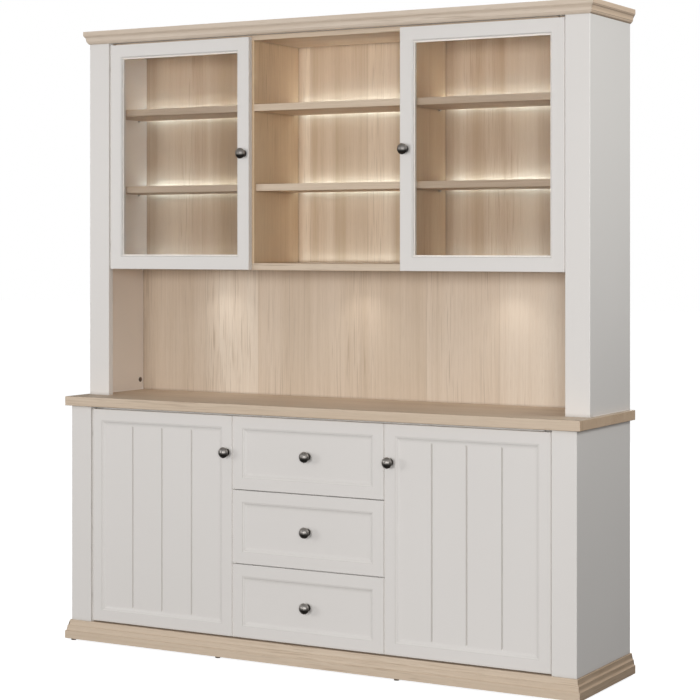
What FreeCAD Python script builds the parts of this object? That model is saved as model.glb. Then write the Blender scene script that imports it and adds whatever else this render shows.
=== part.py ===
import FreeCAD, Part
import math
import os

os.makedirs("parts", exist_ok=True)
Vec = FreeCAD.Vector

# Sideboard carcass
carcass_width = 1788.0
base_depth = 408.0
base_height = 702.0
post_width = 78.0
post_thickness = 22.0
side_thickness = 18.0
board_thickness = 22.0
partition_thickness = 22.0
rail_width = 80.0
back_thickness = 4.0
back_inset = 8.0
groove_depth = 6.0
base_shelf_rise = 320.0
base_shelf_setback = 35.0

# Plinth and its glides
glide_height = 5.5
glide_diameter = 16.0
glide_end_inset = 27.0
glide_edge_inset = 12.0
glide_inner_share = 0.36
plinth_height = 60.0
plinth_overhang = 16.0
plinth_backing = 40.0
plinth_rail_width = 40.0
plinth_shares = [
    (1.00, 0.00, 0.00),
    (1.00, 0.41, 0.00),
    (0.69, 0.48, 0.18),
    (0.62, 0.66, -0.06),
    (0.25, 0.79, -0.16),
    (0.25, 1.00, 0.00),
]

# Countertop slab
countertop_thickness = 30.0
countertop_overhang = 16.0
back_overhang = 3.0

# Hutch carcass
hutch_setback = 97.0
hutch_height = 1201.5
niche_height = 416.0
niche_back_thickness = 22.0
divider_thickness = 16.0
centre_bay_width = 528.0
top_board_drop = 33.5
shelf_rise_shares = [0.3242, 0.6819]
centre_lower_setback = 11.0
glass_shelf_setback = 12.0
shelf_end_gap = 1.0

# Crown moulding
crown_height = 42.0
crown_overhang = 16.0
crown_rise = 2.0
crown_shares = [
    (0.06, 0.00, 0.00),
    (0.38, 0.19, 0.18),
    (0.62, 0.48, -0.14),
    (0.90, 0.57, -0.10),
    (1.00, 0.64, 0.20),
    (1.00, 1.00, 0.00),
]

# Doors and drawer fronts
front_inset = 5.0
front_thickness = 19.0
front_side_gap = 4.0
front_top_gap = 8.0
front_bottom_gap = 3.8
front_clearance = 1.0
drawer_front_width = 537.5
door_drawer_gap = 3.0
drawer_gap = 2.5
panel_margin = 36.0
panel_moulding_width = 16.0
panel_depth = 6.0
panel_shares = [(0.0, 0.14), (0.25, 0.28), (0.48, 0.70), (0.72, 0.91), (1.0, 1.0)]
plank_pitch = 114.3
plank_groove_width = 6.0
plank_groove_depth = 3.5
hutch_door_top_gap = 5.6
hutch_door_lift = 1.0
glass_margin = 40.0
glass_moulding_width = 4.0
glass_moulding_depth = 4.0
glass_lip = 2.0
glass_thickness = 4.0
glass_edge_gap = 1.0
glass_bead_reveal = 4.0
rebate_cup_gap = 1.0

# Drawer boxes and runners
box_rear_gap = 27.0
box_top_gap = 47.7
box_board = 12.0
box_bottom_thickness = 5.0
box_bottom_rise = 10.0
box_bottom_groove = 6.0
box_lift = 30.0
runner_space = 12.7
runner_height = 45.0
runner_rear_gap = 26.0
runner_sheet = 1.2
runner_depth = 9.5
runner_clearance = 0.35

# Concealed hinges
hinge_end_distance = 80.0
hinge_pivot_inset = 18.0
hinge_eye_room = 0.5
hinge_cup_diameter = 35.0
hinge_cup_depth = 11.5
hinge_cup_centre = 21.5
hinge_cup_wall = 0.8
hinge_flange_height = 52.0
hinge_flange_width = 13.0
hinge_flange_thickness = 1.2
hinge_slot_room = 1.0
hinge_pin_diameter = 3.0
hinge_pin_clearance = 0.05
hinge_eye_diameter = 6.4
hinge_arm_height = 12.0
hinge_arm_thickness = 3.0
hinge_arm_room = 1.2
hinge_plate_length = 35.0
hinge_plate_height = 30.0
hinge_plate_gap = 5.0
hinge_relief_room = 3.0

# Knobs
knob_projection = 33.0
knob_flange_diameter = 22.0
knob_flange_thickness = 2.5
knob_neck_diameter = 11.0
knob_head_diameter = 34.0
knob_head_depth = 22.0
knob_edge_inset = 19.0
knob_drop = 114.5
knob_back_shares = [(0.52, 0.06), (0.84, 0.20)]
knob_widest_share = 0.50

# Shelf pins, caps and lights
pin_diameter = 5.0
pin_web = 2.0
pin_reach = 8.0
pin_edge_distance = 20.0
cap_diameter = 16.0
cap_thickness = 1.5
cap_back_distance = 18.0
cap_rise = 34.0
light_bar_gap = 12.0
light_bar_depth = 18.0
light_bar_height = 14.0
light_bar_sink = 2.0
light_bar_end_gap = 3.0
spot_diameter = 58.0
spot_thickness = 12.0
spot_proud = 1.0
spot_wall_distance = 95.0
side_spot_place = 530.0

# Eased edges and cutting
slab_ease = 2.0
post_ease = 2.0
front_ease = 1.5
board_ease = 1.0
overrun = 2.0
tolerance = 1e-4
full_turn = 360.0

# Levels, counted up from the floor
plinth_top = glide_height + plinth_height
base_top = plinth_top + base_height
counter_top = base_top + countertop_thickness
hutch_top = counter_top + hutch_height
crown_top = hutch_top + crown_rise
crown_bottom = crown_top - crown_height
bottom_board_low = counter_top + niche_height
bottom_board_high = bottom_board_low + board_thickness
top_board_high = hutch_top - top_board_drop
top_board_low = top_board_high - board_thickness

# Depths, with the whole piece centred on the origin
front_reach = knob_projection - front_inset
total_depth = front_reach + base_depth + back_overhang
base_front = front_reach - total_depth / 2
rear = base_front + base_depth
slab_rear = rear + back_overhang
back_high = rear - back_inset
back_low = back_high - back_thickness
base_fronts = base_front + front_inset
base_inner_front = base_fronts + front_thickness + front_clearance
hutch_front = base_front + hutch_setback
hutch_fronts = hutch_front + front_inset
hutch_inner_front = hutch_fronts + front_thickness + front_clearance
niche_back_front = back_low - niche_back_thickness
shelf_rear = back_low - light_bar_gap - light_bar_depth

# Widths, on the right half
half_width = carcass_width / 2
side_inner = half_width - side_thickness
post_inner = half_width - post_width
door_outer = post_inner - front_side_gap
drawer_half = drawer_front_width / 2
door_inner = drawer_half + door_drawer_gap
partition_middle = (drawer_half + door_inner) / 2
partition_inner = partition_middle - partition_thickness / 2
partition_outer = partition_middle + partition_thickness / 2
divider_inner = centre_bay_width / 2
divider_outer = divider_inner + divider_thickness
pin_shank = (divider_thickness - pin_web) / 2

# Hinge pivots, seen from the door's edge, back and front
hinge_slot_height = hinge_arm_height + 2 * hinge_slot_room
hinge_pivot_rise = hinge_cup_wall + hinge_eye_room + hinge_eye_diameter / 2
hinge_pivot_back = hinge_cup_depth - hinge_pivot_rise
hinge_pivot_depth = front_thickness - hinge_pivot_back
hinge_x = door_outer - hinge_pivot_inset
cup_x = door_outer - hinge_cup_centre


def block(x0, x1, y0, y1, z0, z1):
    return Part.makeBox(x1 - x0, y1 - y0, z1 - z0, Vec(x0, y0, z0))


def rod(diameter, length, start, along):
    return Part.makeCylinder(diameter / 2, length, start, along)


def prism(corners, z0, z1):
    outline = [Vec(x, y, z0) for x, y in corners]
    face = Part.Face(Part.makePolygon(outline + outline[:1]))
    return face.extrude(Vec(0, 0, z1 - z0))


def mirrored(shape):
    return shape.mirror(Vec(0, 0, 0), Vec(1, 0, 0))


def near(value, target):
    return abs(value - target) < tolerance


def ease(shape, radius, chosen):
    edges = [edge for edge in shape.Edges if chosen(*[v.Point for v in edge.Vertexes])]
    return shape.makeFillet(radius, edges)


def ease_front(shape, radius, front):
    return ease(shape, radius, lambda a, b: near(a.y, front) and near(b.y, front))


def ease_upright(shape, radius, front):
    return ease(shape, radius, lambda a, b: near(a.y, front) and near(b.y, front) and near(a.x, b.x))


def ease_level(shape, radius, front):
    return ease(shape, radius, lambda a, b: near(a.y, front) and near(b.y, front) and near(a.z, b.z))


def save(name, *solids):
    shape = solids[0] if len(solids) == 1 else Part.makeCompound(list(solids))
    shape.exportStep(f"parts/{name}.step")
    print(name, len(shape.Solids), round(shape.Volume), shape.isValid())


def save_pair(pattern, right):
    save(pattern.format("right"), right)
    save(pattern.format("left"), mirrored(right))


def curve(start, end, bulge_share, along):
    if bulge_share == 0:
        return Part.LineSegment(start, end).toShape()
    outward = along.cross(end - start) * bulge_share
    return Part.Arc(start, (start + end) / 2 + outward, end).toShape()


def moulding(place, shares, overhang, height, backing, along, length):
    corners = [place(out * overhang, up * height) for out, up, _ in shares]
    edges = []
    for start, end, share in zip(corners, corners[1:], shares[1:]):
        edges.append(curve(start, end, share[2], along))
    close = [corners[-1], place(-backing, height), place(-backing, 0), corners[0]]
    for start, end in zip(close, close[1:]):
        edges.append(Part.LineSegment(start, end).toShape())
    return Part.Face(Part.Wire(edges)).extrude(along * length)


def mitred_moulding(shares, overhang, height, backing, front, low):
    """Front length and right return of a moulding, mitred at the front corner."""
    wide = half_width + overhang
    inner = half_width - backing
    front_bar = moulding(
        lambda out, up: Vec(-wide, front - out, low + up),
        shares, overhang, height, backing, Vec(1, 0, 0), 2 * wide,
    )
    lip = front - overhang
    heel = front + backing
    front_plan = prism([(-wide, lip), (wide, lip), (inner, heel), (-inner, heel)], low, low + height)
    return_bar = moulding(
        lambda out, up: Vec(half_width + out, lip, low + up),
        shares, overhang, height, backing, Vec(0, 1, 0), slab_rear - lip,
    )
    return_corners = [(wide, lip), (wide, slab_rear), (inner, slab_rear), (inner, heel)]
    return_plan = prism(return_corners, low, low + height)
    return front_bar.common(front_plan), return_bar.common(return_plan)


# Plinth: mitred moulding frame on nailed glides
plinth_front, plinth_return = mitred_moulding(
    plinth_shares, plinth_overhang, plinth_height, plinth_backing, base_front, glide_height
)
save("plinth_front", plinth_front)
save("plinth_returns", plinth_return, mirrored(plinth_return))
plinth_inner = half_width - plinth_backing
save("plinth_back_rail", block(
    -plinth_inner, plinth_inner, slab_rear - plinth_rail_width, slab_rear, glide_height, plinth_top
))
glide_outer_place = half_width + plinth_overhang - glide_end_inset
glide_inner_place = glide_outer_place * glide_inner_share
glides = []
for glide_x in (-glide_outer_place, -glide_inner_place, glide_inner_place, glide_outer_place):
    for glide_y in (base_front - plinth_overhang + glide_edge_inset, slab_rear - glide_edge_inset):
        glides.append(rod(glide_diameter, glide_height, Vec(glide_x, glide_y, 0), Vec(0, 0, 1)))
save("foot_glides", *glides)


# Shelf pins, each a shank in the wall and a stub under the shelf
def shelf_pins(wall, inward, front, low):
    pins = []
    start = wall - inward * pin_shank
    for pin_y in (front + pin_edge_distance, shelf_rear - pin_edge_distance):
        centre = Vec(start, pin_y, low - pin_diameter / 2)
        pins.append(rod(pin_diameter, pin_shank + pin_reach, centre, Vec(inward, 0, 0)))
    return pins


base_shelf_front = base_inner_front + base_shelf_setback
base_floor = plinth_top + board_thickness
base_shelf_low = base_floor + base_shelf_rise
glass_shelf_front = hutch_inner_front + glass_shelf_setback
bay_height = top_board_low - bottom_board_high
shelf_lows = [bottom_board_high + share * bay_height for share in shelf_rise_shares]
centre_fronts = [hutch_inner_front + centre_lower_setback, hutch_inner_front]
base_pins = shelf_pins(side_inner, -1, base_shelf_front, base_shelf_low)
base_pins += shelf_pins(partition_outer, 1, base_shelf_front, base_shelf_low)
hutch_pins = []
for low in shelf_lows:
    hutch_pins += shelf_pins(side_inner, -1, glass_shelf_front, low)
    hutch_pins += shelf_pins(divider_outer, 1, glass_shelf_front, low)
right_pins = base_pins + hutch_pins
save("shelf_pins", *right_pins, *[mirrored(pin) for pin in right_pins])
pin_holes = Part.makeCompound(right_pins)

# Relief in a board's front corners, where the hinge edge of a door swings in
def relieved(board, front, low):
    reach = math.hypot(hinge_pivot_inset, hinge_pivot_back) + hinge_arm_room
    notch = block(
        hinge_x - hinge_pivot_back - hinge_relief_room, post_inner,
        front, front + hinge_pivot_depth + reach, low - overrun, low + board_thickness + overrun,
    )
    return board.cut(notch).cut(mirrored(notch))


# Sideboard carcass
base_back = block(
    -side_inner - groove_depth, side_inner + groove_depth, back_low, back_high, plinth_top, base_top
)
base_side = block(side_inner, half_width, base_front + post_thickness, rear, plinth_top, base_top)
save_pair("base_{}_side", base_side.cut(base_back).cut(pin_holes))
base_post = block(
    post_inner, half_width, base_front, base_front + post_thickness, plinth_top, base_top
)
save_pair("base_{}_post", ease_upright(base_post, post_ease, base_front))
save("base_back_panel", base_back)
base_bottom = block(-side_inner, side_inner, base_inner_front, back_low, plinth_top, base_floor)
save("base_bottom_panel", relieved(base_bottom, base_fronts, plinth_top))
rail_low = base_top - board_thickness
partition = block(partition_inner, partition_outer, base_inner_front, back_low, base_floor, rail_low)
partition = partition.cut(pin_holes)
save("base_partitions", partition, mirrored(partition))
front_rail = block(
    -side_inner, side_inner, base_inner_front, base_inner_front + rail_width, rail_low, base_top
)
back_rail = block(-side_inner, side_inner, back_low - rail_width, back_low, rail_low, base_top)
save("base_top_rails", relieved(front_rail, base_fronts, rail_low), back_rail)
base_shelf = block(
    partition_outer + shelf_end_gap, side_inner - shelf_end_gap,
    base_shelf_front, shelf_rear, base_shelf_low, base_shelf_low + board_thickness,
)
base_shelf = ease_level(base_shelf, board_ease, base_shelf_front)
save("base_shelves", base_shelf, mirrored(base_shelf))

# Countertop slab
slab_half = half_width + countertop_overhang
slab_front = base_front - countertop_overhang
countertop = block(-slab_half, slab_half, slab_front, slab_rear, base_top, counter_top)
save("countertop", countertop.makeFillet(slab_ease, countertop.Edges))

# Hutch carcass
hutch_back = block(
    -side_inner - groove_depth, side_inner + groove_depth, back_low, back_high, counter_top, hutch_top
)
hutch_side = block(side_inner, half_width, hutch_front + post_thickness, rear, counter_top, hutch_top)
save_pair("hutch_{}_side", hutch_side.cut(hutch_back).cut(pin_holes))
hutch_post = block(
    post_inner, half_width, hutch_front, hutch_front + post_thickness, counter_top, hutch_top
)
save_pair("hutch_{}_post", ease_upright(hutch_post, post_ease, hutch_front))
save("hutch_back_panel", hutch_back)
save("niche_back_panel", block(
    -side_inner, side_inner, niche_back_front, back_low, counter_top, bottom_board_low
))
spots = []
for spot_x in (-side_spot_place, 0, side_spot_place):
    spot_start = Vec(spot_x, niche_back_front - spot_wall_distance, bottom_board_low - spot_proud)
    spots.append(rod(spot_diameter, spot_thickness, spot_start, Vec(0, 0, 1)))
save("niche_spot_lights", *spots)
bays = [(divider_outer, side_inner), (-divider_inner, divider_inner), (-side_inner, -divider_outer)]


def light_bar(bay, board_high, sink):
    bay_low, bay_high = bay
    return block(
        bay_low + light_bar_end_gap, bay_high - light_bar_end_gap,
        shelf_rear, shelf_rear + light_bar_depth,
        board_high - light_bar_sink - light_bar_height, board_high - sink,
    )


def hutch_board(low):
    board = block(-side_inner, side_inner, hutch_inner_front, back_low, low, low + board_thickness)
    return relieved(ease_level(board, board_ease, hutch_inner_front), hutch_fronts, low)


light_grooves = [light_bar(bay, bottom_board_high, 0) for bay in bays]
light_recesses = Part.makeCompound(spots + light_grooves)
save("hutch_bottom_panel", hutch_board(bottom_board_low).cut(light_recesses))
save("hutch_top_panel", hutch_board(top_board_low))
divider = block(
    divider_inner, divider_outer, hutch_inner_front, back_low, bottom_board_high, top_board_low
)
divider = ease_upright(divider, board_ease, hutch_inner_front)
save_pair("hutch_{}_divider", divider.cut(pin_holes))
save(
    "hutch_top_rails",
    block(-post_inner, post_inner, hutch_front, hutch_inner_front, crown_bottom, hutch_top),
    block(-side_inner, side_inner, niche_back_front, back_low, top_board_high, hutch_top),
)

# Hutch shelves with a light bar along each rear edge, and bars sunk in the bottom board; the shelves
# of the open bay are fixed between the dividers, the others lie on pins
shelves = []
light_bars = []
for bay in bays:
    bay_low, bay_high = bay
    centre_bay = bay_low < 0 < bay_high
    fronts = centre_fronts if centre_bay else [glass_shelf_front, glass_shelf_front]
    end_gap = 0 if centre_bay else shelf_end_gap
    for low, front in zip(shelf_lows, fronts):
        shelf = block(
            bay_low + end_gap, bay_high - end_gap, front, shelf_rear, low, low + board_thickness
        )
        shelves.append(ease_level(shelf, board_ease, front))
        light_bars.append(light_bar(bay, low + board_thickness, light_bar_sink))
    light_bars.append(light_bar(bay, bottom_board_high, light_bar_sink))
save("hutch_shelves", *shelves)
save("shelf_light_bars", *light_bars)
cap_centre = Vec(side_inner, niche_back_front - cap_back_distance, counter_top + cap_rise)
cap = rod(cap_diameter, cap_thickness, cap_centre, Vec(-1, 0, 0))
save("fixing_caps", cap, mirrored(cap))

# Crown moulding round the hutch top
crown_front, crown_return = mitred_moulding(
    crown_shares, crown_overhang, crown_height, 0, hutch_front, crown_bottom
)
save("crown_front", crown_front)
save("crown_returns", crown_return, mirrored(crown_return))


# Fronts: an eased board with a moulded sinking
def front_board(x0, x1, front, z0, z1):
    board = block(x0, x1, front, front + front_thickness, z0, z1)
    return ease_front(board, front_ease, front)


def sinking(x0, x1, front, z0, z1, margin, width, depth):
    sections = [(-overrun, 0)]
    sections += [(deep * depth, inset * width) for inset, deep in panel_shares]
    wires = []
    for deep, inset in sections:
        gap = margin + inset
        y = front + deep
        corners = [
            Vec(x0 + gap, y, z0 + gap), Vec(x1 - gap, y, z0 + gap),
            Vec(x1 - gap, y, z1 - gap), Vec(x0 + gap, y, z1 - gap),
        ]
        wires.append(Part.makePolygon(corners + corners[:1]))
    return Part.makeLoft(wires, True, True)


def panel_front(x0, x1, front, z0, z1):
    board = front_board(x0, x1, front, z0, z1)
    return board.cut(sinking(x0, x1, front, z0, z1, panel_margin, panel_moulding_width, panel_depth))


def plank_groove(x, floor, z0, z1):
    half = plank_groove_width / 2 * (1 + overrun / plank_groove_depth)
    mouth = floor - overrun
    corners = [(x - half, mouth), (x + half, mouth), (x, floor + plank_groove_depth)]
    return prism(corners, z0, z1)


# Concealed hinge of a right-hand door, reduced to a single upright pin in the cup
def hinge_places(z0, z1):
    return [z0 + hinge_end_distance, z1 - hinge_end_distance]


def hinge_pocket(front, z):
    back = front + front_thickness
    deep = back - hinge_cup_depth
    bore = rod(hinge_cup_diameter, hinge_cup_depth + overrun, Vec(cup_x, deep, z), Vec(0, 1, 0))
    slot = block(
        cup_x, door_outer + overrun, deep, back + overrun,
        z - hinge_slot_height / 2, z + hinge_slot_height / 2,
    )
    return bore.fuse(slot)


def hinge_cup(front, z):
    back = front + front_thickness
    deep = back - hinge_cup_depth
    floor = deep + hinge_cup_wall
    inner_radius = hinge_cup_diameter / 2 - hinge_cup_wall
    reach = hinge_cup_depth + hinge_flange_thickness + overrun
    cup = rod(hinge_cup_diameter, hinge_cup_depth, Vec(cup_x, deep, z), Vec(0, 1, 0))
    flange = block(
        cup_x - hinge_flange_width / 2, cup_x + hinge_flange_width / 2,
        back, back + hinge_flange_thickness,
        z - hinge_flange_height / 2, z + hinge_flange_height / 2,
    )
    hollow = rod(2 * inner_radius, reach, Vec(cup_x, floor, z), Vec(0, 1, 0))
    slot = block(
        cup_x, door_outer + overrun, floor, back + reach,
        z - hinge_slot_height / 2, z + hinge_slot_height / 2,
    )
    shell = cup.fuse(flange).cut(hollow).cut(slot)
    wall_middle = inner_radius + hinge_cup_wall / 2
    pin_half = math.sqrt(wall_middle ** 2 - (hinge_x - cup_x) ** 2)
    pin_start = Vec(hinge_x, front + hinge_pivot_depth, z - pin_half)
    return shell.fuse(rod(hinge_pin_diameter, 2 * pin_half, pin_start, Vec(0, 0, 1)))


def hinge_arm(front, z):
    pivot_y = front + hinge_pivot_depth
    post_back = front - front_inset + post_thickness
    swing = math.hypot(hinge_pivot_inset, hinge_pivot_rise)
    arm_low = pivot_y + swing + hinge_arm_room
    arm_high = arm_low + hinge_arm_thickness
    z0 = z - hinge_arm_height / 2
    z1 = z + hinge_arm_height / 2
    leg_low = hinge_x - hinge_arm_thickness / 2
    leg_high = hinge_x + hinge_arm_thickness / 2
    plate_low = post_inner + hinge_plate_gap
    eye = rod(hinge_eye_diameter, hinge_arm_height, Vec(hinge_x, pivot_y, z0), Vec(0, 0, 1))
    leg = block(leg_low, leg_high, pivot_y, arm_high, z0, z1)
    arm = block(leg_low, plate_low + hinge_plate_length, arm_low, arm_high, z0, z1)
    plate = block(
        plate_low, plate_low + hinge_plate_length, post_back, arm_high,
        z - hinge_plate_height / 2, z + hinge_plate_height / 2,
    )
    bore = rod(
        hinge_pin_diameter + 2 * hinge_pin_clearance, hinge_arm_height + 2 * overrun,
        Vec(hinge_x, pivot_y, z0 - overrun), Vec(0, 0, 1),
    )
    return eye.fuse(leg).fuse(arm).fuse(plate).removeSplitter().cut(bore)


# Turned knob: round flange, waisted neck and flattened ball
def knob(x, front, z):
    head_start = knob_projection - knob_head_depth
    head_radius = knob_head_diameter / 2
    widest = head_start + knob_head_depth * knob_widest_share
    cap_depth = knob_projection - widest
    ball_radius = (head_radius ** 2 + cap_depth ** 2) / (2 * cap_depth)
    rise = math.asin(head_radius / ball_radius) / 2
    crown_point = (ball_radius * math.sin(rise), knob_projection - ball_radius * (1 - math.cos(rise)))

    def at(radius, out):
        return Vec(x + radius, front - out, z)

    flange_radius = knob_flange_diameter / 2
    neck_radius = knob_neck_diameter / 2
    back_points = [(r * head_radius, head_start + d * knob_head_depth) for r, d in knob_back_shares]
    rim = at(head_radius, widest)
    tip = at(0, knob_projection)
    corners = [
        at(0, 0), at(flange_radius, 0), at(flange_radius, knob_flange_thickness),
        at(neck_radius, knob_flange_thickness), at(neck_radius, head_start), at(*back_points[0]),
    ]
    edges = [Part.LineSegment(a, b).toShape() for a, b in zip(corners, corners[1:])]
    edges.append(Part.Arc(corners[-1], at(*back_points[1]), rim).toShape())
    edges.append(Part.Arc(rim, at(*crown_point), tip).toShape())
    edges.append(Part.LineSegment(tip, corners[0]).toShape())
    face = Part.Face(Part.Wire(edges))
    return face.revolve(Vec(x, front, z), Vec(0, -1, 0), full_turn)


# Sideboard doors: one board, sunk panel, upright plank grooves
fronts_low = plinth_top + front_bottom_gap
fronts_high = base_top - front_top_gap
knob_z = fronts_high - knob_drop
knob_x = door_inner + knob_edge_inset
base_door = panel_front(door_inner, door_outer, base_fronts, fronts_low, fronts_high)
sunk = panel_margin + panel_moulding_width
panel_face = base_fronts + panel_depth
door_middle = (door_inner + door_outer) / 2
for plank in (-1, 0, 1):
    base_door = base_door.cut(plank_groove(
        door_middle + plank * plank_pitch, panel_face, fronts_low + sunk, fronts_high - sunk
    ))
base_hinges = hinge_places(fronts_low, fronts_high)
for hinge_z in base_hinges:
    base_door = base_door.cut(hinge_pocket(base_fronts, hinge_z))
base_cups = Part.makeCompound([hinge_cup(base_fronts, hinge_z) for hinge_z in base_hinges])
save_pair("base_{}_door", base_door)
save_pair("base_{}_door_hinge_cups", base_cups)
save_pair("base_{}_door_knob", knob(knob_x, base_fronts, knob_z))

# Glazed doors: moulded frame, pane in a rebate, loose beads behind the pane
glazed_low = bottom_board_low + hutch_door_lift
glazed_high = crown_bottom - hutch_door_top_gap
sight = glass_margin + glass_moulding_width
bead_inner = sight + glass_bead_reveal
edge = hinge_cup_centre + hinge_cup_diameter / 2 + rebate_cup_gap
pane_front = hutch_fronts + glass_moulding_depth + glass_lip
pane_back = pane_front + glass_thickness
glazed_back = hutch_fronts + front_thickness


def inset_block(inset, y0, y1):
    return block(
        door_inner + inset, door_outer - inset, y0, y1, glazed_low + inset, glazed_high - inset
    )


frame = front_board(door_inner, door_outer, hutch_fronts, glazed_low, glazed_high)
frame = frame.cut(sinking(
    door_inner, door_outer, hutch_fronts, glazed_low, glazed_high,
    glass_margin, glass_moulding_width, glass_moulding_depth,
))
frame = frame.cut(inset_block(sight, hutch_fronts - overrun, glazed_back + overrun))
frame = frame.cut(inset_block(edge, pane_front, glazed_back + overrun))
glazed_hinges = hinge_places(glazed_low, glazed_high)
for hinge_z in glazed_hinges:
    frame = frame.cut(hinge_pocket(hutch_fronts, hinge_z))
beads = []
bead_levels = [(glazed_low + edge, glazed_low + bead_inner), (glazed_high - bead_inner, glazed_high - edge)]
for low, high in bead_levels:
    beads.append(block(door_inner + edge, door_outer - edge, pane_back, glazed_back, low, high))
bead_sides = [(door_inner + edge, door_inner + bead_inner), (door_outer - bead_inner, door_outer - edge)]
for low, high in bead_sides:
    beads.append(block(low, high, pane_back, glazed_back, glazed_low + bead_inner, glazed_high - bead_inner))
pane = inset_block(edge + glass_edge_gap, pane_front, pane_back)
glazed_cups = Part.makeCompound([hinge_cup(hutch_fronts, hinge_z) for hinge_z in glazed_hinges])
save_pair("hutch_{}_door_frame", Part.makeCompound([frame] + beads))
save_pair("hutch_{}_door_pane", pane)
save_pair("hutch_{}_door_hinge_cups", glazed_cups)
save_pair("hutch_{}_door_knob", knob(knob_x, hutch_fronts, (glazed_low + glazed_high) / 2))

# Fixed arms of all the hinges, screwed to the back of the posts
arms = [hinge_arm(base_fronts, hinge_z) for hinge_z in base_hinges]
arms += [hinge_arm(hutch_fronts, hinge_z) for hinge_z in glazed_hinges]
save("hinge_arms", *arms, *[mirrored(arm) for arm in arms])

# Drawers: front, box of boards, runner slides and knob
drawer_names = ["bottom", "middle", "top"]
drawer_count = len(drawer_names)
fronts_height = fronts_high - fronts_low
drawer_front_height = (fronts_height - (drawer_count - 1) * drawer_gap) / drawer_count
box_half = partition_inner - runner_space
box_front = base_fronts + front_thickness
box_back = back_low - box_rear_gap
box_height = drawer_front_height - box_lift - box_top_gap
runner_front = base_inner_front
runner_length = back_low - runner_rear_gap - runner_front
slide_reach = runner_space - runner_sheet - runner_clearance
slide_height = runner_height - 2 * (runner_sheet + runner_clearance)


def channel(web, side, depth, height, front, z):
    """C-section runner: web against a side face, two flanges towards the other member."""
    low = z - height / 2
    high = z + height / 2
    tip = web + side * depth
    x0 = min(web, tip)
    x1 = max(web, tip)
    outer = block(x0, x1, front, front + runner_length, low, high)
    inside = web + side * runner_sheet
    open_side = tip + side * overrun
    hollow = block(
        min(inside, open_side), max(inside, open_side),
        front - overrun, front + runner_length + overrun,
        low + runner_sheet, high - runner_sheet,
    )
    return outer.cut(hollow)


def drawer_box(low):
    high = low + box_height
    bottom_low = low + box_bottom_rise
    inner = box_half - box_board
    groove_half = inner + box_bottom_groove
    bottom = block(
        -groove_half, groove_half, box_front + box_board - box_bottom_groove,
        box_back - box_board + box_bottom_groove, bottom_low, bottom_low + box_bottom_thickness,
    )
    right = block(inner, box_half, box_front, box_back, low, high).cut(bottom)
    front = block(-inner, inner, box_front, box_front + box_board, low, high).cut(bottom)
    back = block(-inner, inner, box_back - box_board, box_back, low, high).cut(bottom)
    return [right, mirrored(right), front, back, bottom]


rails = []
for number, name in enumerate(drawer_names):
    front_low = fronts_low + number * (drawer_front_height + drawer_gap)
    front_high = front_low + drawer_front_height
    front_face = panel_front(-drawer_half, drawer_half, base_fronts, front_low, front_high)
    save(f"{name}_drawer_front", front_face)
    box_low = front_low + box_lift
    save(f"{name}_drawer_box", *drawer_box(box_low))
    runner_z = box_low + box_height / 2
    slide = channel(box_half, 1, slide_reach, slide_height, runner_front, runner_z)
    save(f"{name}_drawer_slides", slide, mirrored(slide))
    save(f"{name}_drawer_knob", knob(0, panel_face, (front_low + front_high) / 2))
    rail = channel(partition_inner, -1, runner_depth, runner_height, runner_front, runner_z)
    rails += [rail, mirrored(rail)]
save("drawer_runner_rails", *rails)
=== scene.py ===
# %% [markdown]
# This lesson dresses a finished sideboard-and-hutch model: a lacquered cabinet with a light oak top,
# a lit niche, open shelves and two glazed doors. The boards, doors, drawers and hinges arrive as a
# fixed frame, so nothing is measured twice: every place below is read from that frame.

# %% Load the frame
import math

import bmesh
import bpy
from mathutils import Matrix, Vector
from mathutils.bvhtree import BVHTree


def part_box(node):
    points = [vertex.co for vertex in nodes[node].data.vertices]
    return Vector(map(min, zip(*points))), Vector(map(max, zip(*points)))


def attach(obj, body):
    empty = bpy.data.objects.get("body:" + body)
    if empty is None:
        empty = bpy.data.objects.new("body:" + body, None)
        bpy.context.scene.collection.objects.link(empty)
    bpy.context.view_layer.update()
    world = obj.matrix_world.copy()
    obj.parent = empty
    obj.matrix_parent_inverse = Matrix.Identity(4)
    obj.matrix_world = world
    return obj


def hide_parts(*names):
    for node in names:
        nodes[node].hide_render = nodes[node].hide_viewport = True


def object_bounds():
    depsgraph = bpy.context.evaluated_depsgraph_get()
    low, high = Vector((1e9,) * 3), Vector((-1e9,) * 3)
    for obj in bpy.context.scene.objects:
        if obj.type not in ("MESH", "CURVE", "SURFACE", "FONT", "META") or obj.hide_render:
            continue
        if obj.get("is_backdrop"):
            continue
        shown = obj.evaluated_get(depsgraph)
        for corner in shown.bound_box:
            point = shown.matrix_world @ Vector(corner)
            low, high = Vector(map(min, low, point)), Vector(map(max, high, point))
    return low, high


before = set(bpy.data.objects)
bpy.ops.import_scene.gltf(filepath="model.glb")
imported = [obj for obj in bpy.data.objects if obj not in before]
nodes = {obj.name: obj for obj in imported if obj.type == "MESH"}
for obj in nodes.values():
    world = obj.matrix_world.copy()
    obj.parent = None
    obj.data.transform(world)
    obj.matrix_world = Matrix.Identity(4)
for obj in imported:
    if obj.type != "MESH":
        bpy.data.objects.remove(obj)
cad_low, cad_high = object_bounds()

# %% [markdown]
# The view is a studio catalogue view: a long lens, the camera held level so that the posts stay
# upright, and the picture shifted down instead of tilting the camera. A tilted camera could show the
# same piece, but its verticals would lean. The numbers come from fitting the known edges of the piece.

# %% Camera
CAMERA_PLACE = (3.0550, -5.2860, 1.2929)
CAMERA_TURN = 0.5173
LENS_MM = 99.98
PICTURE_SHIFT = -0.1498

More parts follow.
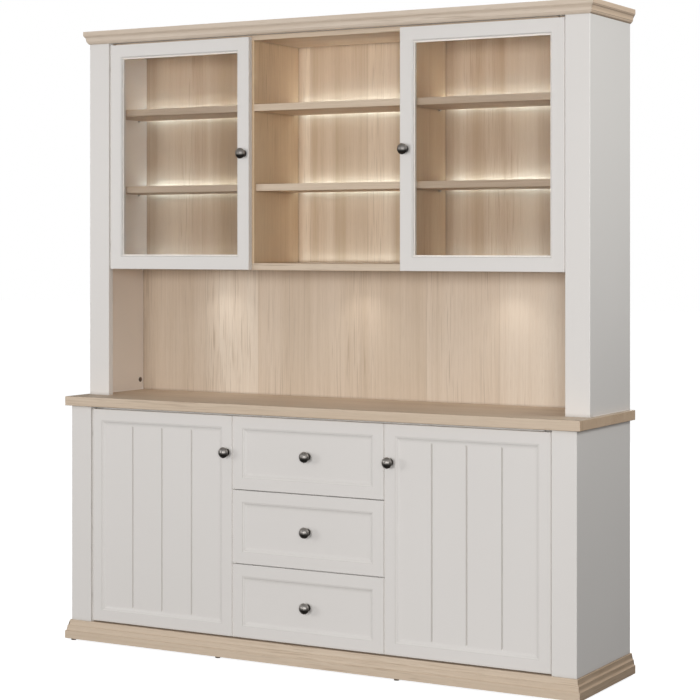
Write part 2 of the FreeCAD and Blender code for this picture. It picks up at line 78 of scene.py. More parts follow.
camera_data = bpy.data.cameras.new("catalogue_view")
camera_data.lens = LENS_MM
camera_data.sensor_width = 36.0
camera_data.shift_y = PICTURE_SHIFT
camera = bpy.data.objects.new("catalogue_view", camera_data)
camera.location = CAMERA_PLACE
camera.rotation_euler = (math.pi / 2, 0.0, CAMERA_TURN)
bpy.context.scene.collection.objects.link(camera)
bpy.context.scene.camera = camera
print("camera", round(camera.location.length, 2), "m from the middle of the floor")

# %% [markdown]
# The studio is a white sweep. A large plain floor catches the contact shadow, and the surroundings
# are white. Soft area lamps do the modelling: three in front at chest height, which reach into the
# bays from the left, the middle and the right, and one level with the top of the right side, so that
# this side falls off from top to bottom. A fifth lamp stands behind, for whoever walks round to look
# at the rear. From some sides a pane would mirror a lamp as a hard white square. A photographer keeps
# that off the glass with flags; light linking does the same here, and leaves the rest of the light.

# %% Floor and studio light
FLOOR_SIZE = 60.0
AMBIENT = 0.285
FRONT_POWER = 182.0
RIGHT_POWER = 166.0
LEFT_POWER = 72.0
SIDE_POWER = 15.0
REAR_POWER = 110.0
PANES = ("hutch_left_door_pane", "hutch_right_door_pane")
flagged_panes = bpy.data.collections.new("flagged_panes")
for name in PANES:
    flagged_panes.objects.link(nodes[name])
for entry in flagged_panes.collection_objects:
    entry.light_linking.link_state = "EXCLUDE"


def flat_square(name, size):
    mesh = bpy.data.meshes.new(name)
    half = size / 2
    corners = [(-half, -half, 0), (half, -half, 0), (half, half, 0), (-half, half, 0)]
    mesh.from_pydata(corners, [], [(0, 1, 2, 3)])
    thing = bpy.data.objects.new(name, mesh)
    bpy.context.scene.collection.objects.link(thing)
    return thing


def soft_lamp(name, place, target, size, power, colour=(1.0, 1.0, 1.0)):
    lamp = bpy.data.lights.new(name, "AREA")
    lamp.shape = "RECTANGLE"
    lamp.size, lamp.size_y = size
    lamp.energy = power
    lamp.color = colour
    thing = bpy.data.objects.new(name, lamp)
    thing.location = place
    aim = Vector(target) - Vector(place)
    thing.rotation_euler = aim.to_track_quat("-Z", "Y").to_euler()
    thing.visible_camera = False
    thing.light_linking.receiver_collection = flagged_panes
    bpy.context.scene.collection.objects.link(thing)


floor = flat_square("studio_floor", FLOOR_SIZE)
floor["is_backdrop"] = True
middle = (cad_low + cad_high) / 2
soft_lamp("front_lamp", (0.3, -7.5, 1.6), middle, (2.4, 1.6), FRONT_POWER)
soft_lamp("right_lamp", (4.4, -6.6, 1.7), middle, (1.6, 1.6), RIGHT_POWER)
soft_lamp("left_lamp", (-5.2, -4.6, 1.7), middle, (1.6, 1.6), LEFT_POWER)
soft_lamp("side_lamp", (2.5, 0.0, 1.95), (0.9, 0.0, 1.95), (0.9, 0.9), SIDE_POWER, (0.98, 1.0, 0.99))
soft_lamp("rear_lamp", (-0.6, 6.5, 2.2), middle, (2.4, 1.6), REAR_POWER)

world = bpy.data.worlds.new("white_sweep")
bpy.context.scene.world = world
world.use_nodes = True
sky = world.node_tree
sky.nodes.clear()
surround = sky.nodes.new("ShaderNodeBackground")
surround.inputs["Color"].default_value = (1.0, 1.0, 1.0, 1.0)
surround.inputs["Strength"].default_value = AMBIENT
backdrop = sky.nodes.new("ShaderNodeBackground")
backdrop.inputs["Color"].default_value = (1.0, 1.0, 1.0, 1.0)
backdrop.inputs["Strength"].default_value = 1.0
seen = sky.nodes.new("ShaderNodeLightPath")
mixed = sky.nodes.new("ShaderNodeMixShader")
sky_out = sky.nodes.new("ShaderNodeOutputWorld")
sky.links.new(seen.outputs["Is Camera Ray"], mixed.inputs[0])
sky.links.new(surround.outputs[0], mixed.inputs[1])
sky.links.new(backdrop.outputs[0], mixed.inputs[2])
sky.links.new(mixed.outputs[0], sky_out.inputs[0])
bpy.context.scene.view_settings.view_transform = "Standard"
print("floor", FLOOR_SIZE, "m across, five soft lamps")

# %% [markdown]
# Every finish below is a small node tree. A few helpers keep the trees readable: one adds a node and
# fills its sockets in a single line, one starts a material with a Principled shader in it, and the
# small ones after it give a finish its gloss, its bump and the direction in which a surface looks.

# %% Node helpers


def put(tree, kind, inputs=None, **settings):
    node = tree.nodes.new(kind)
    for name, value in settings.items():
        setattr(node, name, value)
    for name, value in (inputs or {}).items():
        if isinstance(value, bpy.types.NodeSocket):
            tree.links.new(value, node.inputs[name])
        else:
            node.inputs[name].default_value = value
    return node


def maths(tree, way, first, second=0.0):
    return put(tree, "ShaderNodeMath", {0: first, 1: second}, operation=way).outputs[0]


def remap(tree, value, low, high, new_low=0.0, new_high=1.0):
    inputs = {"Value": value, "From Min": low, "From Max": high, "To Min": new_low, "To Max": new_high}
    return put(tree, "ShaderNodeMapRange", inputs).outputs[0]


def mixed_colour(tree, mask, first, second, way="MIX"):
    node = put(tree, "ShaderNodeMix", {0: mask, 6: first, 7: second}, data_type="RGBA", blend_type=way)
    return node.outputs[2]


def shader_group(name, inputs, outputs):
    tree = bpy.data.node_groups.new(name, "ShaderNodeTree")
    for label, kind, value in inputs:
        socket = tree.interface.new_socket(label, in_out="INPUT", socket_type=kind)
        if value is not None:
            socket.default_value = value
    for label, kind in outputs:
        tree.interface.new_socket(label, in_out="OUTPUT", socket_type=kind)
    return tree, tree.nodes.new("NodeGroupInput").outputs, tree.nodes.new("NodeGroupOutput")


def new_finish(name, **constants):
    material = bpy.data.materials.new(name)
    material.use_nodes = True
    tree = material.node_tree
    tree.nodes.clear()
    shader = tree.nodes.new("ShaderNodeBsdfPrincipled")
    for label, value in constants.items():
        shader.inputs[label.replace("_", " ")].default_value = value
    end = tree.nodes.new("ShaderNodeOutputMaterial")
    tree.links.new(shader.outputs[0], end.inputs["Surface"])
    spot = put(tree, "ShaderNodeTexCoord").outputs["Object"]
    return material, tree, shader, spot


def facing_parts(tree):
    normal = put(tree, "ShaderNodeNewGeometry").outputs["Normal"]
    return put(tree, "ShaderNodeSeparateXYZ", {0: normal}).outputs


def vary_gloss(tree, shader, value, smooth, rough):
    tree.links.new(remap(tree, value, 0.3, 0.7, smooth, rough), shader.inputs["Roughness"])


def add_bump(tree, shader, height, strength, distance):
    inputs = {"Height": height, "Strength": strength, "Distance": distance}
    tree.links.new(put(tree, "ShaderNodeBump", inputs).outputs[0], shader.inputs["Normal"])


def split_surface(tree, ray_kind, first, second):
    ray = put(tree, "ShaderNodeLightPath").outputs[ray_kind]
    split = put(tree, "ShaderNodeMixShader", {0: ray, 1: first.outputs[0], 2: second.outputs[0]})
    end = next(node for node in tree.nodes if node.type == "OUTPUT_MATERIAL")
    tree.links.new(split.outputs[0], end.inputs["Surface"])


def use_group(tree, group, inputs):
    node = put(tree, "ShaderNodeGroup", node_tree=group)
    for name, value in inputs.items():
        if isinstance(value, bpy.types.NodeSocket):
            tree.links.new(value, node.inputs[name])
        else:
            node.inputs[name].default_value = value
    return node.outputs


def dress(material, *names):
    for name in names:
        mesh = nodes[name].data
        mesh.materials.clear()
        mesh.materials.append(material)
    print(material.name, "on", len(names), "pieces")


FLOAT = "NodeSocketFloat"
VECTOR = "NodeSocketVector"
COLOUR = "NodeSocketColor"

# %% [markdown]
# The floor is plain white paper, lit from below like a studio light table, so that it stays white to
# the horizon and keeps a faint contact shadow. The glow is for the view alone: what the floor sends
# back onto the cabinet comes from a plainer grey, or the lower fronts would be lit from below.

# %% Floor finish
paper, tree, shader, spot = new_finish("sweep_paper", Roughness=0.9, Emission_Strength=0.86)
mottle = put(tree, "ShaderNodeTexNoise", {"Vector": spot, "Scale": 3.0, "Detail": 3.0})
pale = mixed_colour(tree, mottle.outputs["Fac"], (0.53, 0.53, 0.53, 1), (0.56, 0.56, 0.56, 1))
shader.inputs["Emission Color"].default_value = (1.0, 1.0, 1.0, 1)
tree.links.new(pale, shader.inputs["Base Color"])
matt = put(tree, "ShaderNodeBsdfDiffuse", {"Color": (0.25, 0.25, 0.25, 1)})
split_surface(tree, "Is Camera Ray", matt, shader)
floor.data.materials.append(paper)
print(paper.name, "on the floor")

# %% [markdown]
# Sprayed lacquer, melamine and moulded plastic share one small flaw: they are never quite flat. A
# group with two noises, a wide soft swell and a fine orange peel, gives both a height for the bump
# and a value that shifts the gloss a little. Built once, it serves every smooth finish.

# %% Shared group: uneven skin
skin_group, given, result = shader_group(
    "uneven_skin",
    [
        ("Vector", VECTOR, None), ("Swell Scale", FLOAT, 9.0),
        ("Peel Scale", FLOAT, 900.0), ("Peel Share", FLOAT, 0.35),
    ],
    [("Height", FLOAT), ("Drift", FLOAT)],
)


def skin_noise(scale, detail):
    inputs = {"Vector": given["Vector"], "Scale": given[scale], "Detail": detail}
    return put(skin_group, "ShaderNodeTexNoise", inputs)


swell = skin_noise("Swell Scale", 2.0)
peel = skin_noise("Peel Scale", 1.0)
fine = maths(skin_group, "MULTIPLY", peel.outputs["Fac"], given["Peel Share"])
both = maths(skin_group, "ADD", swell.outputs["Fac"], fine)
skin_group.links.new(both, result.inputs["Height"])
skin_group.links.new(swell.outputs["Fac"], result.inputs["Drift"])
print("group", skin_group.name, "with", len(skin_group.nodes), "nodes")

# %% [markdown]
# Shade gathers in tight corners: the routed steps of a panel, the plank grooves, the foot of a moulding.
# An ambient occlusion probe that looks only a few millimetres far finds those corners, and the finishes
# paint that shade into their colour. It could be painted by hand on each groove, but the probe follows
# any change of shape. Two more outputs find the narrow gaps between fronts, where light bounces to and
# fro; the finishes paint that light in as a paler colour and a faint glow.

# %% Shared group: painted corner shade and gap light
corner_group, given, result = shader_group(
    "painted_corner_shade_and_gap_light",
    [("Reach", FLOAT, 0.008), ("Depth", FLOAT, 1.0)],
    [("Mask", FLOAT), ("Gap", FLOAT), ("Cleft", FLOAT)],
)
probe = put(corner_group, "ShaderNodeAmbientOcclusion", {"Distance": given["Reach"]}, samples=8)
# The first output is painted shade: the finishes darken their colour in the corners with it.
hidden = remap(corner_group, probe.outputs["AO"], 0.98, 0.45)
corner_group.links.new(maths(corner_group, "MULTIPLY", hidden, given["Depth"]), result.inputs["Mask"])
# The two gap outputs mark where the finishes paint light into narrow gaps: a paler colour and a faint
# glow.
corner_group.links.new(remap(corner_group, probe.outputs["AO"], 0.55, 0.25), result.inputs["Gap"])
corner_group.links.new(remap(corner_group, probe.outputs["AO"], 0.75, 0.45), result.inputs["Cleft"])
print("group", corner_group.name, "with", len(corner_group.nodes), "nodes")

# %% [markdown]
# The cabinet itself is sprayed off-white: a warm grey-white with a satin sheen. On the real piece the
# boards are sanded fibreboard under two coats. The colour drifts by a hair over a metre, shade is painted
# a little darker into the corners, and a fine peel breaks up the reflections. The frames of the glass
# doors and the hutch sides take less of that painted shade, and on the hutch sides the faces that look
# inwards are painted lighter and warmer, for light bounced onto them from the oak. In the upright gaps
# light bounces between two white edges more often than a renderer follows it, so a paler colour and a
# faint glow painted on those edges stand for the bounces that are left out.

# %% White lacquer
GAP_BOUNCE = 0.065


def lacquer_finish(name, shade_depth, inside=(1.0, 1.0, 1.0)):
    material, tree, shader, spot = new_finish(name, IOR=1.46, Emission_Strength=GAP_BOUNCE)
    skin = use_group(tree, skin_group, {"Vector": spot, "Swell Scale": 2.2, "Peel Scale": 700.0})
    corner = use_group(tree, corner_group, {"Reach": 0.012, "Depth": shade_depth})
    coat = mixed_colour(tree, skin["Drift"], (0.74, 0.708, 0.678, 1), (0.76, 0.727, 0.698, 1))
    facing = facing_parts(tree)
    place = put(tree, "ShaderNodeSeparateXYZ", {0: spot})
    inward = maths(tree, "MULTIPLY", facing["X"], maths(tree, "SIGN", place.outputs["X"]))
    # Painted light: faces that look inwards are lifted and warmed, for light bounced onto them from the
    # oak.
    inward_painted_light = mixed_colour(tree, 1.0, coat, (*inside, 1), "MULTIPLY")
    coat = mixed_colour(tree, remap(tree, inward, -0.6, -0.9), coat, inward_painted_light)
    # Painted shade: a darker colour in the corners.
    coat = mixed_colour(tree, corner["Mask"], coat, (0.50, 0.47, 0.43, 1))
    # Painted light: a paler colour in the deepest gaps.
    coat = mixed_colour(tree, corner["Gap"], coat, (0.96, 0.94, 0.915, 1))
    tree.links.new(coat, shader.inputs["Base Color"])
    # Painted light: a faint glow on the upright edges in the gaps.
    upright = remap(tree, maths(tree, "ABSOLUTE", facing["X"]), 0.95, 0.99)
    bounced = maths(tree, "MULTIPLY", upright, corner["Cleft"])
    glow = mixed_colour(tree, bounced, (0.0, 0.0, 0.0, 1), (1.0, 0.96, 0.92, 1))
    tree.links.new(glow, shader.inputs["Emission Color"])
    vary_gloss(tree, shader, skin["Drift"], 0.36, 0.44)
    add_bump(tree, shader, skin["Height"], 0.04, 0.0006)
    return material


dress(
    lacquer_finish("white_lacquer", 1.0),
    "base_bottom_panel", "base_left_side", "base_right_side", "base_left_post", "base_right_post",
    "base_partitions", "base_top_rails", "base_back_panel", "hutch_left_post", "hutch_right_post",
    "hutch_top_rails", "base_left_door", "base_right_door", "top_drawer_front", "middle_drawer_front",
    "bottom_drawer_front",
)
dress(lacquer_finish("sash_lacquer", 0.15), "hutch_left_door_frame", "hutch_right_door_frame")
dress(lacquer_finish("hutch_lacquer", 0.2, (1.10, 1.04, 0.97)), "hutch_left_side", "hutch_right_side")

# %% [markdown]
# The wood is light oak, straight grained, in a matt veneer. Its look has layers: planks of slightly
# different tone, broad soft bands, long pinstripes, a few dark streaks, and fine pores. All are noises
# stretched along the grain, so one group can serve every board once its coordinates are turned so
# that the grain runs along X. A photo texture could do it too, but it would tile over two metres.

# %% Shared group: oak grain
oak_group, given, result = shader_group(
    "oak_grain",
    [
        ("Vector", VECTOR, None), ("Plank Width", FLOAT, 0.2),
        ("Plank Contrast", FLOAT, 0.3), ("Band Contrast", FLOAT, 0.5),
    ],
    [("Color", COLOUR), ("Roughness", FLOAT), ("Height", FLOAT)],
)
parts = put(oak_group, "ShaderNodeSeparateXYZ", {0: given["Vector"]})
across = maths(oak_group, "DIVIDE", parts.outputs["Y"], given["Plank Width"])
plank = put(oak_group, "ShaderNodeTexVoronoi", {"W": across, "Scale": 1.0, "Randomness": 0.7},
            voronoi_dimensions="1D")
joint = put(oak_group, "ShaderNodeTexVoronoi", {"W": across, "Scale": 1.0, "Randomness": 0.7},
            voronoi_dimensions="1D", feature="DISTANCE_TO_EDGE")
own = put(oak_group, "ShaderNodeVectorMath", {0: plank.outputs["Color"], 1: (5.0, 0.0, 3.0)},
          operation="MULTIPLY")
placed = put(oak_group, "ShaderNodeVectorMath", {0: given["Vector"], 1: own.outputs[0]}).outputs[0]


def grain_noise(vector, along, cross, detail):
    squeeze = put(oak_group, "ShaderNodeMapping", {"Vector": vector, "Scale": (along, cross, cross)})
    inputs = {"Vector": squeeze.outputs[0], "Scale": 1.0, "Detail": detail}
    return put(oak_group, "ShaderNodeTexNoise", inputs)


sway = grain_noise(placed, 1.6, 5.0, 2.0)
sideways = put(oak_group, "ShaderNodeVectorMath", {0: sway.outputs["Color"], 1: (0.5, 0.5, 0.5)},
               operation="SUBTRACT")
shift = put(oak_group, "ShaderNodeVectorMath", {0: sideways.outputs[0], 1: (0.0, 0.012, 0.012)},
            operation="MULTIPLY")
grain_spot = put(oak_group, "ShaderNodeVectorMath", {0: placed, 1: shift.outputs[0]}).outputs[0]
bands = grain_noise(grain_spot, 0.5, 14.0, 2.0).outputs["Fac"]
lines = grain_noise(grain_spot, 1.3, 120.0, 2.5).outputs["Fac"]
fibres = grain_noise(grain_spot, 5.0, 430.0, 2.0).outputs["Fac"]
hairs = grain_noise(grain_spot, 7.0, 300.0, 1.0).outputs["Fac"]
drifts = grain_noise(grain_spot, 0.8, 9.0, 1.0).outputs["Fac"]
pores = grain_noise(grain_spot, 24.0, 900.0, 0.0).outputs["Fac"]
print("group", oak_group.name, "has its noises")

# %% [markdown]
# The layers add up to one tone, and a colour ramp turns the tone into wood: brown in the late wood,
# cream in the early wood. Streaks and plank joints go over it in a darker brown, where the lines and
# bands agree, so that they come in clusters as they do in a sawn log.

# %% Oak tone and colour
plank_tone = put(oak_group, "ShaderNodeSeparateColor", {0: plank.outputs["Color"]}).outputs[0]
plank_tone = maths(oak_group, "SUBTRACT", plank_tone, 0.5)
plank_tone = maths(oak_group, "MULTIPLY", plank_tone, given["Plank Contrast"])
band_tone = maths(oak_group, "MULTIPLY", maths(oak_group, "SUBTRACT", bands, 0.5), given["Band Contrast"])
tone = maths(oak_group, "ADD", maths(oak_group, "ADD", plank_tone, band_tone), 0.52)
tone = maths(oak_group, "ADD", tone, remap(oak_group, lines, 0.3, 0.7, -0.08, 0.08))
tone = maths(oak_group, "ADD", tone, remap(oak_group, fibres, 0.3, 0.7, -0.05, 0.05))
ramp = put(oak_group, "ShaderNodeValToRGB", {"Fac": tone})
ramp.color_ramp.elements[0].position = 0.15
ramp.color_ramp.elements[0].color = (0.52, 0.395, 0.272, 1)
ramp.color_ramp.elements[1].position = 0.85
ramp.color_ramp.elements[1].color = (0.74, 0.63, 0.505, 1)
ramp.color_ramp.elements.new(0.5).color = (0.645, 0.517, 0.393, 1)
LATE_WOOD = (0.37, 0.265, 0.175, 1)
gathered = remap(oak_group, bands, 0.6, 0.45)
streak = maths(oak_group, "MULTIPLY", remap(oak_group, lines, 0.61, 0.74), gathered)
wood = mixed_colour(oak_group, maths(oak_group, "MULTIPLY", streak, 0.35), ramp.outputs[0], LATE_WOOD)
clustered = remap(oak_group, drifts, 0.48, 0.62)
hair = maths(oak_group, "MULTIPLY", remap(oak_group, hairs, 0.56, 0.68), clustered)
wood = mixed_colour(oak_group, maths(oak_group, "MULTIPLY", hair, 0.5), wood, LATE_WOOD)
seam = remap(oak_group, joint.outputs["Distance"], 0.0, 0.012, 0.3, 0.0)
wood = mixed_colour(oak_group, seam, wood, LATE_WOOD)
pore = maths(oak_group, "MULTIPLY", remap(oak_group, pores, 0.64, 0.74), 0.2)
wood = mixed_colour(oak_group, pore, wood, (0.40, 0.29, 0.19, 1))
oak_group.links.new(wood, result.inputs["Color"])
oak_group.links.new(remap(oak_group, lines, 0.3, 0.7, 0.48, 0.60), result.inputs["Roughness"])
oak_group.links.new(maths(oak_group, "SUBTRACT", fibres, pore), result.inputs["Height"])
print("group", oak_group.name, "with", len(oak_group.nodes), "nodes")

# %% [markdown]
# Several cuts of the same oak: lengthwise boards with the grain along the cabinet, upright boards with
# the grain standing, and the short returns of the mouldings with the grain running back. A Mapping node
# turns the coordinates; the group itself stays the same. Each cut has its own small table of values. Most
# tones differ as veneers do, board by board; the crown front's cooler tone is painted light, and the
# dividers' warmer, darker tone is painted shade, the warm shade of the bays. Shade is painted darker into
# the corners. Undersides are painted too: warmer on the lengthwise boards, for light bounced off the oak,
# and dark on the crown returns, as shade. The upright faces of the plinth returns are painted darker than
# their ledges, as shade beside ledges lit from above.

# %% Oak boards
QUARTER = math.pi / 2
PLAIN_CUT = {
    "ends": "X", "turn": (0, 0, 0), "offset": (3.0, 7.0, 1.0),
    "plank": 0.30, "contrast": 0.12, "bands": 0.5,
    "stain": (1.0, 1.0, 1.0), "under": (1.0, 1.0, 1.0), "upright": (1.0, 1.0, 1.0),
    "reach": 0.009, "shade": 0.5,
}


def oak_finish(name, **changes):
    cut = PLAIN_CUT | changes
    material, tree, shader, spot = new_finish(name, IOR=1.45)
    facing = facing_parts(tree)
    end_grain = remap(tree, maths(tree, "ABSOLUTE", facing[cut["ends"]]), 0.75, 0.95)
    below = remap(tree, facing["Z"], -0.35, -0.75)
    turned = put(tree, "ShaderNodeMapping", {
        "Vector": spot, "Rotation": cut["turn"], "Location": cut["offset"],
    })
    grain = use_group(tree, oak_group, {
        "Vector": turned.outputs[0], "Plank Width": cut["plank"],
        "Plank Contrast": cut["contrast"], "Band Contrast": cut["bands"],
    })
    corner = use_group(tree, corner_group, {"Reach": cut["reach"], "Depth": cut["shade"]})
    # The cut's tone; on the crown front it is painted cooler light, on the dividers painted warm shade.
    face = mixed_colour(tree, 1.0, grain["Color"], (*cut["stain"], 1), "MULTIPLY")
    ends = mixed_colour(tree, 1.0, face, (0.92, 0.84, 0.76, 1), "MULTIPLY")
    sawn = mixed_colour(tree, end_grain, face, ends)
    # Painted light and shade on undersides: warmer on the lengthwise boards, dark on the crown returns.
    painted_underside = mixed_colour(tree, 1.0, sawn, (*cut["under"], 1), "MULTIPLY")
    sawn = mixed_colour(tree, below, sawn, painted_underside)
    # Painted shade: upright faces darker than the ledges, where a cut asks for it.
    upright = remap(tree, facing["Z"], 0.6, 0.1)
    darker = mixed_colour(tree, 1.0, sawn, (*cut["upright"], 1), "MULTIPLY")
    sawn = mixed_colour(tree, upright, sawn, darker)
    # Painted shade: a darker colour in the corners.
    shaded = mixed_colour(tree, corner["Mask"], sawn, (0.30, 0.21, 0.14, 1))
    tree.links.new(shaded, shader.inputs["Base Color"])
    tree.links.new(grain["Roughness"], shader.inputs["Roughness"])
    add_bump(tree, shader, grain["Height"], 0.12, 0.0004)
    return material


STANDING = {"ends": "Z", "turn": (QUARTER, 0, QUARTER), "plank": 0.22}
# The lengthwise undersides are painted warmer, for light bounced off the oak.
lengthwise_oak = oak_finish("lengthwise_oak", under=(1.05, 0.95, 0.83))
standing_oak = oak_finish(
    "standing_oak", **STANDING, offset=(1.0, 5.0, 2.0), contrast=0.32, bands=1.5, stain=(1.0, 0.98, 0.95),
)
niche_oak = oak_finish(
    "niche_oak", **STANDING, offset=(1.0, 6.1, 2.0), contrast=0.46, bands=0.4, stain=(1.0, 1.03, 1.07),
)
# The dividers' warmer, darker tone is painted shade, the warm shade of the bays.
divider_oak = oak_finish(
    "divider_oak", ends="Z", turn=(0, QUARTER, 0), offset=(4.0, 2.0, 6.0),
    plank=0.15, contrast=0.2, stain=(1.0, 0.90, 0.75),
)
RUNNING = {"ends": "Y", "turn": (0, 0, QUARTER), "offset": (2.0, 9.0, 4.0), "reach": 0.012, "shade": 1.0}
# The crown front's cooler tone is painted light; the crown returns' undersides are painted dark as shade.
crown_oak = oak_finish("crown_oak", stain=(1.02, 1.05, 1.11))
crown_return_oak = oak_finish(
    "crown_return_oak", **RUNNING, stain=(1.05, 1.01, 1.0), under=(0.46, 0.45, 0.44),
)
# The plinth returns' upright faces are painted darker as shade.
plinth_return_oak = oak_finish(
    "plinth_return_oak", **RUNNING, stain=(1.08, 1.01, 0.94), upright=(0.72, 0.71, 0.70),
)
dress(
    lengthwise_oak, "plinth_back_rail", "countertop", "hutch_bottom_panel", "hutch_top_panel",
    "hutch_shelves", "base_shelves",
)
dress(standing_oak, "hutch_back_panel")
dress(niche_oak, "niche_back_panel")
dress(divider_oak, "hutch_left_divider", "hutch_right_divider")

# %% [markdown]
# Crown and plinth are run on a spindle moulder: one cutter gives every length the same section, and the
# lengths are mitred at the corners. So the section is a short list of points, a little finer than in
# the frame (small fillets and quirks beside the coves), and each length is that section drawn between
# two stations. A station is a corner of the cabinet with the direction in which the section grows.

# %% Mitred mouldings
MM = 0.001
OVERHANG = 0.016
CROWN_SECTION = [
    (0.6, 0.0), (2.4, 1.2), (4.6, 3.2), (6.2, 5.8), (7.2, 8.4), (8.2, 9.2), (8.6, 13.5), (9.2, 17.8),
    (9.8, 18.8), (10.4, 20.6), (11.6, 22.8), (13.0, 24.4), (14.2, 25.2), (14.2, 26.6), (15.2, 26.9),
    (15.2, 27.8), (16.0, 28.6), (16.0, 42.0), (0.0, 42.0), (0.0, 0.0),
]
PLINTH_SECTION = [
    (16.0, 0.0), (16.0, 24.0), (15.2, 24.6), (13.4, 25.4), (11.9, 27.0), (10.9, 29.4), (10.5, 32.5),
    (10.5, 40.5), (9.8, 41.2), (8.0, 42.0), (6.4, 43.6), (5.3, 46.0), (4.8, 49.0), (4.8, 57.2),
    (4.4, 58.6), (3.4, 59.6), (2.0, 60.0), (-40.0, 60.0), (-40.0, 0.0),
]


def link_piece(name, mesh):
    piece = bpy.data.objects.new(name, mesh)
    bpy.context.scene.collection.objects.link(piece)
    return piece


def moulding_piece(name, section, low, runs, finish, node):
    shape = bmesh.new()
    for run in runs:
        rings = []
        for x, y, grow_x, grow_y in run:
            ring = [(x + grow_x * out * MM, y + grow_y * out * MM, low + up * MM) for out, up in section]
            rings.append([shape.verts.new(point) for point in ring])
        first, second = rings
        for number in range(len(section)):
            after = (number + 1) % len(section)
            shape.faces.new((first[number], first[after], second[after], second[number]))
        ends = [shape.faces.new(first), shape.faces.new(second)]
        bmesh.ops.triangulate(shape, faces=ends, ngon_method="EAR_CLIP")
    bmesh.ops.recalc_face_normals(shape, faces=shape.faces)
    mesh = bpy.data.meshes.new(name)
    shape.to_mesh(mesh)
    shape.free()
    mesh.materials.append(finish)
    piece = link_piece(name, mesh)
    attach(piece, "carcass")
    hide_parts(node)
    print(name, "with", len(mesh.polygons), "faces")


for word, section, finish, return_finish in (
    ("crown", CROWN_SECTION, crown_oak, crown_return_oak),
    ("plinth", PLINTH_SECTION, lengthwise_oak, plinth_return_oak),
):
    low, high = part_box(f"{word}_front")
    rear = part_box(f"{word}_returns")[1].y
    side, front = high.x - OVERHANG, low.y + OVERHANG
    left, right = (-side, front, -1, -1), (side, front, 1, -1)
    moulding_piece(f"{word}_front_length", section, low.z, [(left, right)], finish, f"{word}_front")
    returns = [(left, (-side, rear, -1, 0)), (right, (side, rear, 1, 0))]
    moulding_piece(f"{word}_return_lengths", section, low.z, returns, return_finish, f"{word}_returns")

# %% [markdown]
# The knobs are turned and plated in black nickel. The plate's colour follows the direction in which the
# surface looks: the top is painted light and the underside painted dark, as a painted reflection of the
# bright room above and the darker floor below, and shade is painted into the corners. A middling
# roughness and a slight cloudiness keep it from looking wet.

# %% Knob metal
KNOBS = [name for name in nodes if name.endswith("_knob")]
black_nickel, tree, shader, spot = new_finish("black_nickel", Metallic=1.0)
skin = use_group(tree, skin_group, {"Vector": spot, "Swell Scale": 160.0, "Peel Scale": 2600.0})
corner = use_group(tree, corner_group, {"Reach": 0.006, "Depth": 0.9})
facing = facing_parts(tree)
plate = mixed_colour(tree, skin["Drift"], (0.38, 0.355, 0.33, 1), (0.48, 0.452, 0.425, 1))
# Painted highlight on top and painted dark underneath, by the direction the surface looks.
painted_top_light = remap(tree, facing["Z"], -0.35, 0.45)
plate = mixed_colour(tree, painted_top_light, (0.055, 0.05, 0.046, 1), plate)
# Painted shade: a darker colour in the corners.
plate = mixed_colour(tree, corner["Mask"], plate, (0.05, 0.045, 0.04, 1))
tree.links.new(plate, shader.inputs["Base Color"])
vary_gloss(tree, shader, skin["Drift"], 0.38, 0.46)
add_bump(tree, shader, skin["Height"], 0.05, 0.0002)
dress(black_nickel, *KNOBS)

# %% [markdown]
# The panes are clear float glass. A pure glass shader blocks direct light in a path tracer, so the
# bays behind would go black. The material lets shadow rays pass, as thin glass nearly does.

# %% Pane glass
pane_glass, tree, shader, spot = new_finish(
    "pane_glass", Transmission_Weight=1.0, IOR=1.45, Metallic=0.0,
)
skin = use_group(tree, skin_group, {
    "Vector": spot, "Swell Scale": 3.0, "Peel Scale": 40.0, "Peel Share": 0.1,
})
tint = mixed_colour(tree, skin["Drift"], (0.815, 0.797, 0.785, 1), (0.84, 0.822, 0.81, 1))
tree.links.new(tint, shader.inputs["Base Color"])
vary_gloss(tree, shader, skin["Drift"], 0.0, 0.03)
clear = put(tree, "ShaderNodeBsdfTransparent", {"Color": (1.0, 0.985, 0.97, 1)})
split_surface(tree, "Is Shadow Ray", shader, clear)
dress(pane_glass, *PANES)

# %% [markdown]
# Light bars hide behind the shelves, and three more lie in grooves of the bottom board. Each shines up
# the back panel through a narrow lens along its rear edge, close to the panel, so that the glow dies out
# within a hand's breadth. A little light also leaves through the rear and shows below the shelf. The lens
# is painted by place: the top bars are the strongest, those behind glass are stronger again, and each
# fades at its two ends. The light is a cool white: it has to look neutral on warm oak.

# %% Lights of the cabinet
BAR_GLOW = 56.0
TOP_LEVEL = 0.46
LOW_LEVEL = 0.15
REAR_LEVEL = 0.066
GLAZED_SHARE = 2.1
LENS_STRIP = 0.0045
LENS_EDGE = 0.0005
LENS_FADE = 0.06
END_SHARE = 0.15
LOW_BARS_BELOW = 0.2
TOP_BARS_ABOVE = 0.05
bar_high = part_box("shelf_light_bars")[1]
divider_inner, divider_outer = (corner.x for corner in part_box("hutch_right_divider"))
diffuser, tree, shader, spot = new_finish("milky_diffuser", Roughness=0.5, Emission_Strength=BAR_GLOW)
skin = use_group(tree, skin_group, {"Vector": spot, "Swell Scale": 30.0, "Peel Scale": 400.0})
milk = mixed_colour(tree, skin["Drift"], (0.80, 0.98, 1.10, 1), (0.82, 1.0, 1.14, 1))
facing = facing_parts(tree)
place = put(tree, "ShaderNodeSeparateXYZ", {0: spot})
lens_front = bar_high.y - LENS_STRIP
strip = remap(tree, place.outputs["Y"], lens_front - LENS_EDGE, lens_front)
upward = maths(tree, "MULTIPLY", remap(tree, facing["Z"], 0.2, 0.8), strip)
low_bars, top_bars = bar_high.z - LOW_BARS_BELOW, bar_high.z - TOP_BARS_ABOVE
level = remap(tree, place.outputs["Z"], low_bars, top_bars, LOW_LEVEL, TOP_LEVEL)
sideways = maths(tree, "ABSOLUTE", place.outputs["X"])
